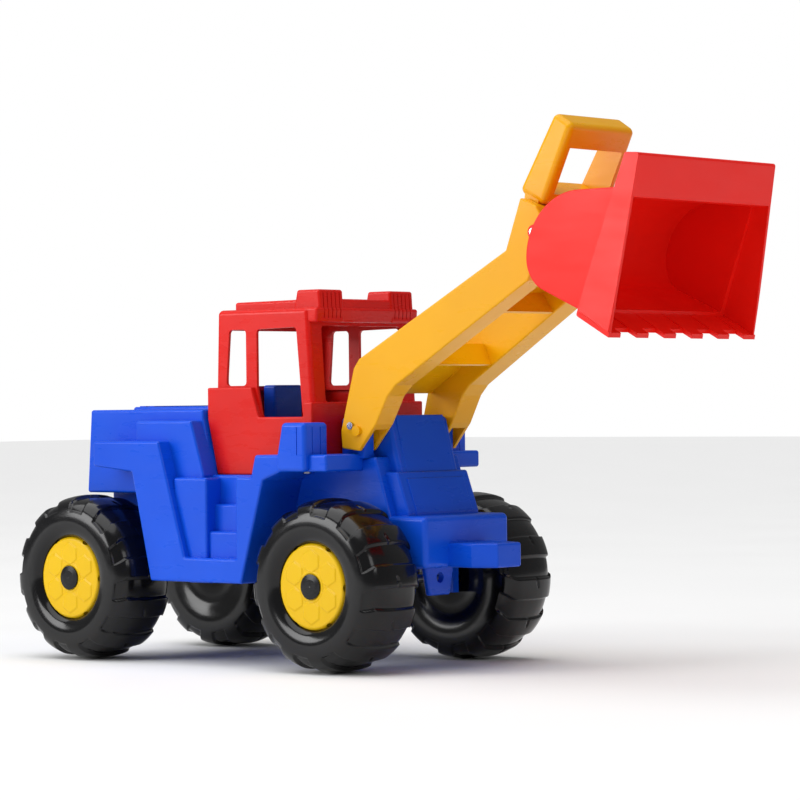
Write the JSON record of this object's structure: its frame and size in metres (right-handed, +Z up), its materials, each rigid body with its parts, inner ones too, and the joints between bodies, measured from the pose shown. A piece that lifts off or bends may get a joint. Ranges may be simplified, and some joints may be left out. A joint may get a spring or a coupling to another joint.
{
  "type": "toy front loader",
  "caption": "Toy wheel loader with a stepped body, a windowed cab, rolling wheels, a lifting boom with a carrying handle, and a tipping toothed bucket",
  "frame": {"origin": "on the floor, below the middle of the bounding box at rest", "axes": "+X towards the bucket (front), +Y to the vehicle's left, +Z up"},
  "size_m": [0.7495, 0.2714, 0.5005],
  "materials": {
    "blue_body": "glossy injection-moulded plastic",
    "red_cab": "glossy injection-moulded plastic",
    "red_bucket": "glossy injection-moulded plastic",
    "yellow_boom": "glossy injection-moulded plastic",
    "yellow_hub": "glossy injection-moulded plastic",
    "black_tyre": "semi-gloss blow-moulded plastic",
    "black_cap": "glossy plastic cap",
    "axle_steel": "drawn steel rod",
    "pin_steel": "plated steel pin",
    "nut_steel": "spring steel",
    "screw_steel": "plated steel"
  },
  "bodies": {
    "vehicle": {"body_shell": "blue_body", "cab": "red_cab", "cab_screws": "screw_steel", "tow_hitch": "blue_body", "hitch_screws": "screw_steel", "front_axle": "axle_steel", "rear_axle": "axle_steel", "axle_cap_front_left": "black_cap", "axle_cap_front_right": "black_cap", "axle_cap_rear_left": "black_cap", "axle_cap_rear_right": "black_cap", "push_nut_front_left": "nut_steel", "push_nut_front_right": "nut_steel", "push_nut_rear_left": "nut_steel", "push_nut_rear_right": "nut_steel"},
    "wheel_front_left": {"tyre_front_left": "black_tyre", "hub_front_left": "yellow_hub"},
    "wheel_front_right": {"tyre_front_right": "black_tyre", "hub_front_right": "yellow_hub"},
    "wheel_rear_left": {"tyre_rear_left": "black_tyre", "hub_rear_left": "yellow_hub"},
    "wheel_rear_right": {"tyre_rear_right": "black_tyre", "hub_rear_right": "yellow_hub"},
    "boom_assembly": {"boom": "yellow_boom", "handle": "yellow_boom", "boom_pin_left": "pin_steel", "boom_pin_right": "pin_steel", "boom_pin_clip_left": "nut_steel", "boom_pin_clip_right": "nut_steel", "bucket_pin_left": "pin_steel", "bucket_pin_right": "pin_steel", "bucket_pin_clip_left": "nut_steel", "bucket_pin_clip_right": "nut_steel"},
    "bucket_assembly": {"bucket": "red_bucket"}
  },
  "joints": [
    {"name": "front_left_wheel_spin", "type": "hinge", "parent": "vehicle", "child": "wheel_front_left", "pos_m": [0.02175, 0.0991, 0.08], "axis": [0, 1, 0], "continuous": true},
    {"name": "front_right_wheel_spin", "type": "hinge", "parent": "vehicle", "child": "wheel_front_right", "pos_m": [0.02175, -0.0991, 0.08], "axis": [0, 1, 0], "continuous": true},
    {"name": "rear_left_wheel_spin", "type": "hinge", "parent": "vehicle", "child": "wheel_rear_left", "pos_m": [-0.29475, 0.0991, 0.08], "axis": [0, 1, 0], "continuous": true},
    {"name": "rear_right_wheel_spin", "type": "hinge", "parent": "vehicle", "child": "wheel_rear_right", "pos_m": [-0.29475, -0.0991, 0.08], "axis": [0, 1, 0], "continuous": true},
    {"name": "boom_lift", "type": "hinge", "parent": "vehicle", "child": "boom_assembly", "pos_m": [0.01935, 0, 0.2258], "axis": [0, 1, 0], "range_deg": [-15, 50]},
    {"name": "bucket_tip", "type": "hinge", "parent": "boom_assembly", "child": "bucket_assembly", "pos_m": [0.23225, 0, 0.396], "axis": [0, 1, 0], "range_deg": [-35, 40]}
  ]
}
